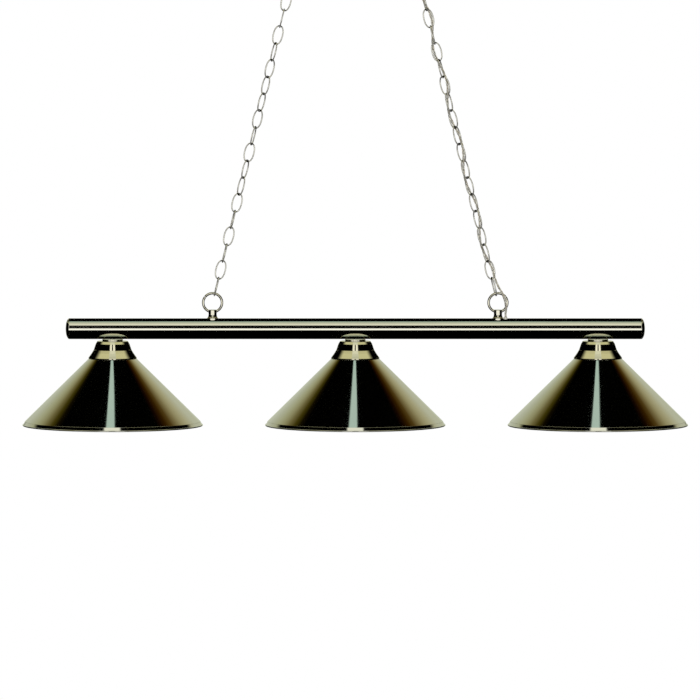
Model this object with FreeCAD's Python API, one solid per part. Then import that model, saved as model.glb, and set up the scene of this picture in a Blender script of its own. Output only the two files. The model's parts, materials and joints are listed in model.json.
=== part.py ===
import FreeCAD, Part
import math
import os
from FreeCAD import Placement, Rotation, Vector

# A pool table lamp: a tube bar with three cone shades, hung on two chains from a ceiling canopy.
# Millimetres. The origin is where the fixture strap meets the ceiling, at the canopy's centre.
# +X runs along the bar, +Z points up, and -Y is the front.

# Ceiling canopy
CANOPY_RADIUS = 63.5
CANOPY_DEPTH = 25.0
CANOPY_SHEET = 1.2
STRAP_SIZE = (112.0, 19.0, 2.0)
BOX_HOLE_SPACING = 88.9
BOX_HOLE_RADIUS = 2.4
COVER_SCREW_X = 16.0
COVER_SCREW_RADIUS = 2.0
CANOPY_LOOP_X = 39.5

# Hanging loops: a split ring in a turned barrel with a threaded stem
RING_RADIUS = 18.5
RING_WIRE = 2.5
RING_HEIGHT = 30.9
RING_SPLIT = 0.6
BARREL_RADIUS = 8.0
BARREL_HEIGHT = 16.9
FOOT_RADIUS = 11.0
STEM_RADIUS = 4.75
STEM_HOLE = 5.0

# Chains: oval links, each at a right angle to the next but for a slow twist
LINK_LENGTH = 39.5
LINK_WIDTH = 21.0
LINK_WIRE = 1.3
LINK_GAP = 0.3
LINK_COUNT = 29
LINKS_PER_NODE = 14
LEFT_TWIST = ((0, 0), (12, 0), (20, 86), (23, 8), (28, 4))
RIGHT_TWIST = ((0, 180), (18, 50), (25, 42), (28, 12))

# Bar
BAR_RADIUS = 20.5
BAR_WALL = 1.2
BAR_HALF_LENGTH = 564.0
BAR_LOOP_X = 281.0
CAP_BULGE = 6.5
CAP_PLUG = 12.0
BAR_BUSHING = (BAR_LOOP_X + 14.8, -5.0)

# Lamps. Depths are measured down from the top of each lamp's collar.
LAMPS = {"left": -478.0, "centre": 0.0, "right": 478.0}
NECK_RADIUS = 20.25
NECK_HEIGHT = 3.7
CUP_RADIUS = 19.5
CUP_WALL = 1.0
CUP_DEPTH = 45.0
SHEET = 1.0
CONE_TOP_DEPTH = 31.0
CONE_SLOPE = 1.0148
CONE_TOP_RADIUS = 43.3
LIP_START_RADIUS = 173.0
RIM_RADIUS = 176.4
RIM_DEPTH = 165.9
RIM_BEAD = 1.4
RETAINER_RADIUS = 26.0
RETAINER_HEIGHT = 6.0
RETAINER_NOTCHES = 16
SHELL_BORE = 13.15
BULB_BASE_RADIUS = 13.05
BULB_RADIUS = 30.0
BULB_CENTRE_DEPTH = 94.5
GLASS_WALL = 0.8
NIPPLE_RADIUS = 5.0
NIPPLE_BORE = 3.6

# Power cord, woven through the right-hand chain
CORD_RADIUS = 2.25
WEAVE_RADIUS = 5.65
BUSHING_BORE = 2.3
RUN_SHARE = 0.45
CANOPY_BUSHING = (34.0, 17.0)
GRIP_RADIUS = 5.6
SLEEVE_RADIUS = 4.0
BAR_SLEEVE_RADIUS = 3.5

# Wiring. A wire connector's size is its mouth radius, tip radius, length and bore.
CANOPY_CONNECTOR = (4.3, 2.8, 15.0, 1.3)
BAR_CONNECTOR = (4.2, 2.8, 14.0, 1.6)
SUPPLY_LEAD = 0.6
BAR_LEAD = 0.9
SOCKET_LEAD = 1.0
HARNESS_RADIUS = 2.6
CORD_STRIPPED = 9.0

# Places that follow from the sizes above
PITCH = LINK_LENGTH - 4 * LINK_WIRE - LINK_GAP
LINK_HALF = LINK_LENGTH / 2 - LINK_WIRE
HOOK_REACH = RING_RADIUS - RING_WIRE - LINK_WIRE - LINK_GAP
CHAIN_LENGTH = 2 * (HOOK_REACH + LINK_HALF) + PITCH * (LINK_COUNT - 1)
LEAN = math.asin((BAR_LOOP_X - CANOPY_LOOP_X) / CHAIN_LENGTH)
CANOPY_RING_Z = -CANOPY_DEPTH - RING_HEIGHT
BAR_RING_Z = CANOPY_RING_Z - CHAIN_LENGTH * math.cos(LEAN)
BAR_TOP = BAR_RING_Z - RING_HEIGHT
BAR_Z = BAR_TOP - BAR_RADIUS
COLLAR_TOP = BAR_Z - BAR_RADIUS - NECK_HEIGHT

UP = Vector(0, 0, 1)
ALONG_BAR = Vector(1, 0, 0)
FRONT_TO_BACK = Vector(0, 1, 0)


def export(name, *solids):
    """Writes one node: a single solid, or a group of separate ones."""
    shape = solids[0] if len(solids) == 1 else Part.makeCompound(list(solids))
    if not shape.isValid():
        print(name, "is not valid")
    shape.exportStep("parts/" + name + ".step")
    print(name, len(shape.Solids), round(shape.Volume / 1000, 2), "cm3")


def cylinder(radius, bottom, top, x=0.0, y=0.0):
    """An upright cylinder between two heights."""
    return Part.makeCylinder(radius, top - bottom, Vector(x, y, bottom), UP)


def tube(radius, bore, bottom, top, x=0.0, y=0.0):
    """An upright tube between two heights."""
    return cylinder(radius, bottom, top, x, y).cut(cylinder(bore, bottom - 1, top + 1, x, y))


def block(low, high):
    """A box from its lowest to its highest corner."""
    size = [b - a for a, b in zip(low, high)]
    return Part.makeBox(*size, Vector(*low))


def hex_nut(flats, height, bore, x, y, bottom):
    """A hexagonal nut standing on a height."""
    corner = flats / math.sqrt(3)
    angles = [math.radians(60 * i) for i in range(7)]
    ring = [Vector(x + corner * math.cos(a), y + corner * math.sin(a), bottom) for a in angles]
    body = Part.Face(Part.makePolygon(ring)).extrude(Vector(0, 0, height))
    return body.cut(cylinder(bore, bottom - 1, bottom + height + 1, x, y))


def lathe(steps, x=0.0, base=0.0, direction=1):
    """Turns an outline about an upright axis. A step is (radius, height), or a pair of such
    points, which are the middle and the end of an arc. Heights count up or down from base."""

    def at(point):
        return Vector(x + point[0], 0, base + direction * point[1])

    edges = []
    start = here = steps[0]
    for step in steps[1:] + (start,):
        if isinstance(step[0], tuple):
            edges.append(Part.Arc(at(here), at(step[0]), at(step[1])).toShape())
            here = step[1]
        elif (at(here) - at(step)).Length > 1e-6:
            edges.append(Part.LineSegment(at(here), at(step)).toShape())
            here = step
    face = Part.Face(Part.Wire(edges))
    solid = face.revolve(Vector(x, 0, 0), UP, 360)
    if solid.Volume < 0:
        solid.reverse()
    return solid


def crown(radius, rise):
    """The middle of a dome's arc: its radius, and its drop below the dome's top."""
    ball = (radius**2 + rise**2) / (2 * rise)
    half = math.asin(radius / ball) / 2
    return ball * math.sin(half), ball * (1 - math.cos(half))


# Hanging loops


def loop(x, foot_z, direction, seat=None):
    """A split ring in its barrel. The barrel stands on foot_z and points up (1) or down (-1).
    The foot is cut to the seat's shape where it stands on something round."""
    profile = (
        (0.0, -4.5),
        (FOOT_RADIUS, -4.5),
        (FOOT_RADIUS, 1.4),
        ((9.0, 3.2), (BARREL_RADIUS, 6.5)),
        (BARREL_RADIUS, BARREL_HEIGHT - 1.2),
        ((BARREL_RADIUS - 0.35, BARREL_HEIGHT - 0.35), (BARREL_RADIUS - 1.2, BARREL_HEIGHT)),
        (0.0, BARREL_HEIGHT),
    )
    barrel = lathe(profile, x, foot_z, direction)
    if seat is None:
        low, high = sorted((foot_z, foot_z - direction * 10))
        seat = block((x - 20, -20, low), (x + 20, 20, high))
    barrel = barrel.cut(seat)
    stem_ends = sorted((foot_z + direction * 2, foot_z - direction * 15))
    stem = cylinder(STEM_RADIUS, *stem_ends, x)
    centre = Vector(x, 0, foot_z + direction * RING_HEIGHT)
    ring = Part.makeTorus(RING_RADIUS, RING_WIRE, centre, FRONT_TO_BACK)
    slot = block((-RING_SPLIT / 2, -5, RING_RADIUS - 5), (RING_SPLIT / 2, 5, RING_RADIUS + 5))
    outward = math.copysign(52, x) * direction
    slot.Placement = Placement(centre, Rotation(FRONT_TO_BACK, outward + 90 * (1 - direction)))
    return barrel.fuse(stem).fuse(ring.cut(slot)).removeSplitter()


# Chains


def chain_frame(side):
    """The chain's upper ring centre, its downward direction and its turn about Y."""
    start = Vector(side * CANOPY_LOOP_X, 0, CANOPY_RING_Z)
    down = Vector(side * math.sin(LEAN), 0, -math.cos(LEAN))
    return start, down, Rotation(FRONT_TO_BACK, -side * math.degrees(LEAN))


def twist_at(twist, index):
    """The chain's twist in degrees at a link's index, between the points that are given."""
    for (first, low), (last, high) in zip(twist, twist[1:]):
        if index <= last:
            break
    return low + (high - low) * (index - first) / (last - first)


def plain_link():
    """One link about the origin, standing along Z in the XZ plane."""
    bend = LINK_WIDTH / 2 - LINK_WIRE
    straight = LINK_LENGTH / 2 - LINK_WIDTH / 2
    top = Part.makeTorus(bend, LINK_WIRE, Vector(0, 0, 0), UP, -180, 180, 180)
    top.Placement = Placement(Vector(0, 0, straight), Rotation(ALONG_BAR, 90))
    bottom = top.copy()
    bottom.Placement = Placement(Vector(), Rotation(FRONT_TO_BACK, 180)).multiply(top.Placement)
    legs = [cylinder(LINK_WIRE, -straight, straight, x) for x in (-bend, bend)]
    return top.fuse([bottom] + legs).removeSplitter()


def chain(side, twist):
    """All links of a chain, from the canopy down to the bar."""
    start, down, tilt = chain_frame(side)
    pattern = plain_link()
    links = []
    for k in range(LINK_COUNT):
        link = pattern.copy()
        angle = twist_at(twist, k) + (90 if k % 2 == 0 else 0)
        place = start + down * (HOOK_REACH + LINK_HALF + PITCH * k)
        link.Placement = Placement(place, tilt.multiply(Rotation(UP, angle)))
        links.append(link)
    return links


def export_chain(name, links):
    """The end links are nodes of their own, because each turns on its loop."""
    export("upper_link_" + name, links[0])
    export("lower_link_" + name, links[-1])
    middle = links[1:-1]
    for part, label in enumerate(("upper", "lower")):
        first = part * LINKS_PER_NODE
        export(name + "_chain_" + label, *middle[first : first + LINKS_PER_NODE])


# Power cord


def weave_point(index):
    """A point of the cord's weave beside a link, where each link turns it by about 90 degrees."""
    start, down, tilt = chain_frame(1)
    phase = math.radians(270 + twist_at(RIGHT_TWIST, index) - 90 * index)
    aside = Vector(WEAVE_RADIUS * math.cos(phase), WEAVE_RADIUS * math.sin(phase), 0)
    return start + down * (HOOK_REACH + LINK_HALF + PITCH * index) + tilt.multVec(aside)


def beside_chain(across, back, distance):
    """A point beside the right-hand chain, by its distance down from the upper ring's centre."""
    start, down, tilt = chain_frame(1)
    return start + down * distance + tilt.multVec(Vector(across, back, 0))


def cord_route():
    """The whole cord: out of the canopy, down the chain and into the bar. It is three lists,
    because the cord bends at the two places where the chain turns on its loops."""
    x, y = CANOPY_BUSHING
    upper = [
        Vector(x, y, -CORD_STRIPPED),
        Vector(x, y, -35),
        Vector(x - 0.6, y - 3.4, -53),
        beside_chain(-7.6, 9.0, 9),
        beside_chain(-6.4, 5.7, 21),
    ]
    weave = [weave_point(half / 2) for half in range(2 * LINK_COUNT - 2)]
    x, y = BAR_BUSHING
    lower = [
        beside_chain(7.5, -6.0, CHAIN_LENGTH - 33),
        Vector(x - 7.8, -8.2, BAR_TOP + 52.5),
        Vector(x - 2.5, -8.8, BAR_TOP + 41),
        Vector(x + 0.6, -8.4, BAR_TOP + 29.5),
        Vector(x + 1.1, -7.2, BAR_TOP + 18.5),
        Vector(x, y, BAR_TOP + 8.5),
        Vector(x, y, BAR_TOP - CORD_STRIPPED),
    ]
    first, last = 2, len(weave) - 1
    joints = [(weave[i - 1] + weave[i]) * 0.5 for i in (first, last)]
    return (
        upper + weave[:first] + [joints[0]],
        [joints[0]] + weave[first:last] + [joints[1]],
        [joints[1]] + weave[last:] + lower,
    )


def rounded_path(points):
    """Straight runs joined by tangent arcs, each as large as its two runs allow."""
    edges = []
    here = points[0]
    tightest = math.inf
    for before, corner, after in zip(points, points[1:], points[2:]):
        back = before - corner
        on = after - corner
        turn = math.pi - back.getAngle(on)
        reach = RUN_SHARE * min(back.Length, on.Length)
        radius = reach / math.tan(turn / 2)
        tightest = min(tightest, radius)
        back.normalize()
        on.normalize()
        middle = back + on
        middle.normalize()
        start = corner + back * reach
        end = corner + on * reach
        inside = corner + middle * (radius / math.cos(turn / 2) - radius)
        edges.append(Part.LineSegment(here, start).toShape())
        edges.append(Part.Arc(start, inside, end).toShape())
        here = end
    edges.append(Part.LineSegment(here, points[-1]).toShape())
    return edges, tightest


def wire_tube(points, radius, label=None):
    """A round wire or cord along a route."""
    edges, tightest = rounded_path(points)
    path = Part.Wire(edges)
    section = Part.Wire(Part.makeCircle(radius, points[0], points[1] - points[0]))
    solid = path.makePipeShell([section], True, False)
    if label:
        share = solid.Volume / (math.pi * radius**2 * path.Length)
        print(label, "length", round(path.Length, 1), "radius", round(tightest, 1), "share", share)
    return solid


def wire_connector(size, mouth, direction):
    """A twist-on connector, open at its mouth, where the bared wires go in."""
    mouth_radius, tip_radius, length, bore = size
    cone = Part.makeCone(mouth_radius, tip_radius, length, mouth, direction)
    return cone.cut(Part.makeCylinder(bore, length * 2 / 3, mouth - direction * 0.01, direction))


# Ceiling canopy


def make_canopy():
    """The strap, cover and fittings that stay on the ceiling."""
    length, width, thick = STRAP_SIZE
    strap = block((-length / 2, -width / 2, -thick), (length / 2, width / 2, 0))
    holes = [(s * BOX_HOLE_SPACING / 2, BOX_HOLE_RADIUS) for s in (-1, 1)]
    holes += [(s * COVER_SCREW_X, COVER_SCREW_RADIUS) for s in (-1, 1)]
    for x, radius in holes:
        strap = strap.cut(cylinder(radius, -thick - 1, 1, x))
    export("fixture_strap", strap)

    depth, sheet = CANOPY_DEPTH, CANOPY_SHEET
    cover = lathe(
        (
            (0.0, depth),
            (50.0, depth),
            ((57.6, depth - 2.8), (61.8, depth - 9.5)),
            (CANOPY_RADIUS, 2.0),
            (CANOPY_RADIUS, 0.0),
            (CANOPY_RADIUS - sheet, 0.0),
            (CANOPY_RADIUS - sheet, 2.0),
            (61.8 - sheet, depth - 9.9),
            ((56.8, depth - 3.8), (50.0, depth - sheet)),
            (0.0, depth - sheet),
        ),
        direction=-1,
    )
    bushing_x, bushing_y = CANOPY_BUSHING
    openings = [(s * CANOPY_LOOP_X, 0, STEM_HOLE) for s in (-1, 1)]
    openings += [(s * COVER_SCREW_X, 0, COVER_SCREW_RADIUS + 0.2) for s in (-1, 1)]
    openings.append((bushing_x, bushing_y, SLEEVE_RADIUS + 0.1))
    for x, y, radius in openings:
        cover = cover.cut(cylinder(radius, -depth - 1, -depth + 3, x, y))
    export("canopy_cover", cover)

    screw_top = -0.2
    screws = []
    cap_nuts = []
    nut_radius, nut_side, nut_rise = 6.0, 6.0, 5.0
    across, drop = crown(nut_radius, nut_rise)
    middle = (across, nut_side + nut_rise - drop)
    outline = ((0.0, 0.0), (nut_radius, 0.0), (nut_radius, nut_side))
    outline += ((middle, (0.0, nut_side + nut_rise)),)
    for x in (-COVER_SCREW_X, COVER_SCREW_X):
        screws.append(cylinder(COVER_SCREW_RADIUS, -depth - 7, screw_top, x))
        dome = lathe(outline, x, -depth, -1)
        cap_nuts.append(dome.cut(cylinder(COVER_SCREW_RADIUS, -depth - 7, -depth + 1, x)))
    export("canopy_screws", *screws)
    export("canopy_cap_nuts", *cap_nuts)

    floor = -depth + sheet
    nuts = []
    for name, x in (("left", -CANOPY_LOOP_X), ("right", CANOPY_LOOP_X)):
        export("canopy_loop_" + name, loop(x, -depth, -1))
        nuts.append(hex_nut(15, 4.5, STEM_RADIUS, x, 0, floor))
    export("canopy_loop_nuts", *nuts)

    grip = tube(GRIP_RADIUS, BUSHING_BORE, -depth - 4, -depth, bushing_x, bushing_y)
    sleeve = tube(SLEEVE_RADIUS, BUSHING_BORE, -depth - 1, floor + 4, bushing_x, bushing_y)
    export("canopy_cord_bushing", grip.fuse(sleeve).removeSplitter())

    ground = cylinder(2.0, -8, -thick, 30, 0).fuse(cylinder(4.0, -10.2, -7.9, 30, 0))
    export("ground_screw", ground.removeSplitter())

    connectors = []
    leads = []
    for i, x in enumerate((-30.0, -12.0, 6.0)):
        y = 22.0 + 9 * i
        lead_y = bushing_y - 1.3 + 1.3 * i
        connectors.append(wire_connector(CANOPY_CONNECTOR, Vector(x, y, -13), -ALONG_BAR))
        route = [
            Vector(bushing_x, lead_y, -CORD_STRIPPED),
            Vector(bushing_x, lead_y, 4 - CORD_STRIPPED),
            Vector(bushing_x - 6, lead_y + 0.8 + 3 * i, -4.4),
            Vector((x + 9 + bushing_x) / 2, (y + bushing_y) / 2 + 3 + i, -8.4),
            Vector(x + 8, y + 0.2, -12.6),
            Vector(x - 8, y, -13),
        ]
        leads.append(wire_tube(route, SUPPLY_LEAD))
    export("canopy_wire_connectors", *connectors)
    export("canopy_leads", *leads)


# Bar


def make_bar():
    """The tube with its caps, loops, bushing and wiring."""
    inner = BAR_RADIUS - BAR_WALL
    start = Vector(-BAR_HALF_LENGTH, 0, BAR_Z)
    solid_bar = Part.makeCylinder(BAR_RADIUS, 2 * BAR_HALF_LENGTH, start, ALONG_BAR)
    bar = solid_bar.cut(Part.makeCylinder(inner, 2 * BAR_HALF_LENGTH, start, ALONG_BAR))
    for x in (-BAR_LOOP_X, BAR_LOOP_X):
        bar = bar.cut(cylinder(STEM_HOLE, BAR_Z, BAR_TOP + 5, x))
    bushing_x, bushing_y = BAR_BUSHING
    hole = cylinder(BAR_SLEEVE_RADIUS + 0.1, BAR_Z, BAR_TOP + 5, bushing_x, bushing_y)
    bar = bar.cut(hole)
    for x in LAMPS.values():
        bar = bar.cut(cylinder(NIPPLE_RADIUS + 0.1, BAR_Z - BAR_RADIUS - 5, BAR_Z, x))
    export("bar_tube", bar)

    wall = 1.4
    plug = inner - 0.05
    step = 1.5
    across, drop = crown(BAR_RADIUS, CAP_BULGE)
    inner_across, inner_drop = crown(plug - wall, CAP_BULGE - wall + step)
    for name, side in (("left", -1), ("right", 1)):
        cap = lathe(
            (
                (0.0, CAP_BULGE),
                ((across, CAP_BULGE - drop), (BAR_RADIUS, 0.0)),
                (plug, 0.0),
                (plug, -CAP_PLUG),
                (plug - wall, -CAP_PLUG),
                (plug - wall, -step),
                ((inner_across, CAP_BULGE - wall - inner_drop), (0.0, CAP_BULGE - wall)),
            )
        )
        end = Vector(side * BAR_HALF_LENGTH, 0, BAR_Z)
        cap.Placement = Placement(end, Rotation(FRONT_TO_BACK, side * 90))
        export("end_cap_" + name, cap)

    nuts = []
    nut_height = 4.0
    under_top = BAR_Z + math.sqrt(inner**2 - 8.8**2) - nut_height
    for name, x in (("left", -BAR_LOOP_X), ("right", BAR_LOOP_X)):
        export("bar_loop_" + name, loop(x, BAR_TOP, 1, solid_bar))
        nuts.append(hex_nut(15, nut_height, STEM_RADIUS, x, 0, under_top))
    export("bar_loop_nuts", *nuts)

    relief = tube(4.4, BUSHING_BORE, BAR_TOP - 4, BAR_TOP + 0.8, bushing_x, bushing_y)
    nose = Part.makeCone(4.0, 3.2, 2.2, Vector(bushing_x, bushing_y, BAR_TOP + 0.8), UP)
    nose = nose.cut(cylinder(BUSHING_BORE, BAR_TOP, BAR_TOP + 4, bushing_x, bushing_y))
    sleeve = tube(BAR_SLEEVE_RADIUS, BUSHING_BORE, BAR_TOP - 6, BAR_TOP + 0.5, bushing_x, bushing_y)
    bushing = relief.cut(solid_bar).fuse([nose, sleeve]).removeSplitter()
    export("bar_cord_bushing", bushing)

    lead_y = 11.5
    connectors = []
    leads = []
    below = BAR_TOP - CORD_STRIPPED
    for i, z in enumerate((-9.0, 0.0)):
        mouth = Vector(bushing_x + 38, 0, BAR_Z + z)
        connectors.append(wire_connector(BAR_CONNECTOR, mouth, ALONG_BAR))
        x = bushing_x + 1 - 2 * i
        y = bushing_y - 1 + 2 * i
        route = [
            Vector(x, y, below),
            Vector(x, y, below - 5),
            Vector(bushing_x + 14, 0.7 * y, BAR_Z + z + 1.2),
            Vector(bushing_x + 30, 0.1 * y, BAR_Z + z),
            Vector(bushing_x + 44, 0, BAR_Z + z),
        ]
        leads.append(wire_tube(route, BAR_LEAD))
    export("bar_wire_connectors", *connectors)
    harness_start = Vector(min(LAMPS.values()) - 20, lead_y, BAR_Z)
    harness_length = max(LAMPS.values()) - min(LAMPS.values()) + 40
    harness = Part.makeCylinder(HARNESS_RADIUS, harness_length, harness_start, ALONG_BAR)
    export("bar_leads", harness, *leads)


# Lamps


def depth(value):
    """The height of a depth below the collars' top."""
    return COLLAR_TOP - value


def cone_radius(at_depth):
    """The cone's outer radius at a depth."""
    return CONE_TOP_RADIUS + CONE_SLOPE * (at_depth - CONE_TOP_DEPTH)


def make_collar(x):
    """The spun cup that covers the socket, with a flared foot on the cone."""
    hole = CUP_RADIUS + 0.1
    return lathe(
        (
            (hole, 0.0),
            (28.5, 0.0),
            ((31.7, 0.9), (33.3, 3.6)),
            (34.7, 7.2),
            (36.2, 13.5),
            ((39.6, 21.4), (46.5, 30.8)),
            (47.7, 34.2),
            (46.7, 34.2),
            (45.6, 31.4),
            ((38.7, 22.0), (35.2, 14.0)),
            (33.7, 7.5),
            (32.4, 4.2),
            ((31.0, 1.8), (28.5, SHEET)),
            (hole, SHEET),
        ),
        x,
        COLLAR_TOP,
        -1,
    )


def make_cone(x):
    """The shade: a flat flange, a straight cone, a steeper lip and a rolled bead."""
    lip_start = CONE_TOP_DEPTH + (LIP_START_RADIUS - CONE_TOP_RADIUS) / CONE_SLOPE
    thick = SHEET * math.hypot(1, CONE_SLOPE)
    hole = CUP_RADIUS + 0.5
    flange = CONE_TOP_DEPTH
    shell = lathe(
        (
            (hole, flange),
            (CONE_TOP_RADIUS - 1.0, flange),
            ((CONE_TOP_RADIUS - 0.35, flange + 0.15), (cone_radius(flange + 0.6), flange + 0.6)),
            (LIP_START_RADIUS, lip_start),
            (RIM_RADIUS + 0.5, RIM_DEPTH),
            (RIM_RADIUS - 0.5, RIM_DEPTH),
            (LIP_START_RADIUS - 1.1, lip_start + 0.4),
            (cone_radius(flange + SHEET) - thick, flange + SHEET),
            (hole, flange + SHEET),
        ),
        x,
        COLLAR_TOP,
        -1,
    )
    bead = Part.makeTorus(RIM_RADIUS, RIM_BEAD, Vector(x, 0, depth(RIM_DEPTH)), UP)
    return shell.fuse(bead).removeSplitter()


def make_retainer(x):
    """The knurled ring that is turned by hand and holds the shade up against its collar."""
    top = CONE_TOP_DEPTH + SHEET + 0.3
    low, high = depth(top + RETAINER_HEIGHT), depth(top)
    ring = tube(RETAINER_RADIUS, CUP_RADIUS + 0.05, low, high, x)
    for i in range(RETAINER_NOTCHES):
        angle = 2 * math.pi * i / RETAINER_NOTCHES
        across, back = RETAINER_RADIUS * math.cos(angle), RETAINER_RADIUS * math.sin(angle)
        ring = ring.cut(cylinder(1.3, low - 1, high + 1, x + across, back))
    return ring


def glass_outline(inset):
    """A bulb's outline: a round end with a tangent cone up to a narrow neck."""
    radius = BULB_RADIUS - inset
    neck = 12.6 - inset
    shoulder = (13.4 - inset, 50.0)
    fall = BULB_CENTRE_DEPTH - shoulder[1]
    reach = math.hypot(shoulder[0], fall)
    rise = math.atan2(fall, shoulder[0]) - math.acos(radius / reach)
    bottom = BULB_CENTRE_DEPTH + radius
    touch = (radius * math.cos(rise), BULB_CENTRE_DEPTH - radius * math.sin(rise))
    half = (rise - math.pi / 2) / 2
    middle = (radius * math.cos(half), BULB_CENTRE_DEPTH - radius * math.sin(half))
    return neck, shoulder, touch, middle, bottom


def make_glass(x):
    """The bulb's frosted envelope, open at the neck."""
    solids = []
    for inset, start in ((0.0, 31.0), (GLASS_WALL, 30.0)):
        neck, shoulder, touch, middle, bottom = glass_outline(inset)
        outline = ((0.0, start), (neck, start), (neck, 46.0), shoulder, touch)
        solids.append(lathe(outline + ((middle, (0.0, bottom)),), x, COLLAR_TOP, -1))
    return solids[0].cut(solids[1])


def make_lamp(name, x):
    """One lamp's socket, shade and bulb."""
    cup = lathe(
        (
            (NIPPLE_RADIUS + 0.1, -NECK_HEIGHT),
            (NECK_RADIUS, -NECK_HEIGHT),
            (NECK_RADIUS, 0.0),
            (CUP_RADIUS, 0.0),
            (CUP_RADIUS, CUP_DEPTH),
            (CUP_RADIUS - CUP_WALL, CUP_DEPTH),
            (CUP_RADIUS - CUP_WALL, -NECK_HEIGHT + CUP_WALL),
            (NIPPLE_RADIUS + 0.1, -NECK_HEIGHT + CUP_WALL),
        ),
        x,
        COLLAR_TOP,
        -1,
    )
    export("socket_cup_" + name, cup)

    shell_top = 15.0
    body = tube(CUP_RADIUS - CUP_WALL - 0.1, NIPPLE_BORE, depth(CUP_DEPTH - 1), depth(5), x)
    body = body.cut(cylinder(SHELL_BORE + 0.5, depth(CUP_DEPTH), depth(shell_top), x))
    export("socket_body_" + name, body)
    shell = tube(SHELL_BORE + 0.45, SHELL_BORE, depth(CUP_DEPTH - 2), depth(shell_top + 0.1), x)
    export("socket_shell_" + name, shell)

    export("shade_collar_" + name, make_collar(x))
    export("shade_cone_" + name, make_cone(x))
    export("shade_retainer_" + name, make_retainer(x))

    base = lathe(
        (
            (0.0, 16.1),
            (3.6, 16.1),
            (4.6, 17.6),
            (9.0, 18.6),
            (BULB_BASE_RADIUS, 20.2),
            (BULB_BASE_RADIUS, 42.0),
            (12.65, 42.0),
            (12.65, 22.0),
            (0.0, 22.0),
        ),
        x,
        COLLAR_TOP,
        -1,
    )
    export("bulb_base_" + name, base)
    export("bulb_glass_" + name, make_glass(x))


def make_lamp_fittings():
    """The small pieces that are alike in all lamps, as groups."""
    inner_bottom = BAR_Z - math.sqrt((BAR_RADIUS - BAR_WALL) ** 2 - 8.2**2)
    nut_height = 3.0
    nipples = []
    nuts = []
    contacts = []
    drops = []
    for x in LAMPS.values():
        nipple_top = inner_bottom + 2 * nut_height
        nipples.append(tube(NIPPLE_RADIUS, NIPPLE_BORE, depth(3), nipple_top, x))
        nuts.append(hex_nut(14, nut_height, NIPPLE_RADIUS, x, 0, inner_bottom))
        nuts.append(hex_nut(14, nut_height, NIPPLE_RADIUS, x, 0, depth(-NECK_HEIGHT + 1 + 3)))
        contacts.append(cylinder(5.4, depth(15.8), depth(15.0), x))
        route = [
            Vector(x - 14, 7.5, BAR_Z - 0.6),
            Vector(x - 6, 6.0, BAR_Z - 1.0),
            Vector(x, 0.6, BAR_Z - 5.0),
            Vector(x, 0, BAR_Z - 15.0),
            Vector(x + 0.3, 0, depth(6)),
            Vector(x, 0, depth(14.9)),
        ]
        drops.append(wire_tube(route, SOCKET_LEAD))
    export("lamp_nipples", *nipples)
    export("nipple_nuts", *nuts)
    export("socket_contacts", *contacts)
    export("socket_leads", *drops)


def main():
    os.makedirs("parts", exist_ok=True)
    make_canopy()
    left_links = chain(-1, LEFT_TWIST)
    right_links = chain(1, RIGHT_TWIST)
    export_chain("left", left_links)
    export_chain("right", right_links)
    upper, weave, lower = cord_route()
    export("cord_upper_tail", wire_tube(upper, CORD_RADIUS, "upper"))
    export("cord_weave", wire_tube(weave, CORD_RADIUS, "weave"))
    export("cord_lower_tail", wire_tube(lower, CORD_RADIUS, "lower"))
    make_bar()
    for name, x in LAMPS.items():
        make_lamp(name, x)
    make_lamp_fittings()


main()
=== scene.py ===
import json
import math

import bpy
from mathutils import Matrix, Vector

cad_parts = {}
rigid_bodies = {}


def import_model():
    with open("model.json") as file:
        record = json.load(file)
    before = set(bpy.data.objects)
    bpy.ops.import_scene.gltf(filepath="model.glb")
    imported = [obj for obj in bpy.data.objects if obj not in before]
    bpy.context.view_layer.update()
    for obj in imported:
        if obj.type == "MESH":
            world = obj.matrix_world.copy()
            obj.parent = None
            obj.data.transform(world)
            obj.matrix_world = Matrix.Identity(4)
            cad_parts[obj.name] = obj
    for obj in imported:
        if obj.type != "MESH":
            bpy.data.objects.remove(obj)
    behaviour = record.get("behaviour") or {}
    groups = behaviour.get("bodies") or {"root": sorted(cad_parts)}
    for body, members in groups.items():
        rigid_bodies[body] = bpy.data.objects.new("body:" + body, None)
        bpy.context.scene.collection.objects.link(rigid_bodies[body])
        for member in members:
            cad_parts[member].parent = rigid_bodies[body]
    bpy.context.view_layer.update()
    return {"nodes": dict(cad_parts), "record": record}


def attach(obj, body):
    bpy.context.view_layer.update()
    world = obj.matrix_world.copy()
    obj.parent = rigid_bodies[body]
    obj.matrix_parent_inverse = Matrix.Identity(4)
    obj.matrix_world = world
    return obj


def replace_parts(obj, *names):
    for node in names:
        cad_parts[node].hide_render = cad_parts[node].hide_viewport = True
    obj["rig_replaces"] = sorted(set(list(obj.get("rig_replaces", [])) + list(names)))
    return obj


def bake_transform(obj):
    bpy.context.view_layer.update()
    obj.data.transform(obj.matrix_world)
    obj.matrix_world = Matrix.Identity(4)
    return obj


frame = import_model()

# Sizes are in millimetres, as in the CAD source. Meshes are made in metres.
MM = 0.001

CANOPY_RADIUS = 63.5
CANOPY_DEPTH = 25.0
CANOPY_SHEET = 1.2
CANOPY_LOOP_X = 39.5
COVER_SCREW_X = 16.0
CANOPY_BUSHING = (34.0, 17.0)

RING_RADIUS = 18.5
RING_WIRE = 2.5
RING_HEIGHT = 30.9
RING_SPLIT = 0.6
RING_SLIT_ANGLE = 52.0
BARREL_RADIUS = 8.0
BARREL_HEIGHT = 16.9
FOOT_RADIUS = 11.0
BAR_LOOP_SUNK = 4.4

LINK_LENGTH = 39.5
LINK_WIDTH = 21.0
LINK_WIRE = 1.3
LINK_GAP = 0.3
LINK_COUNT = 29
LINKS_PER_NODE = 14
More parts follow.
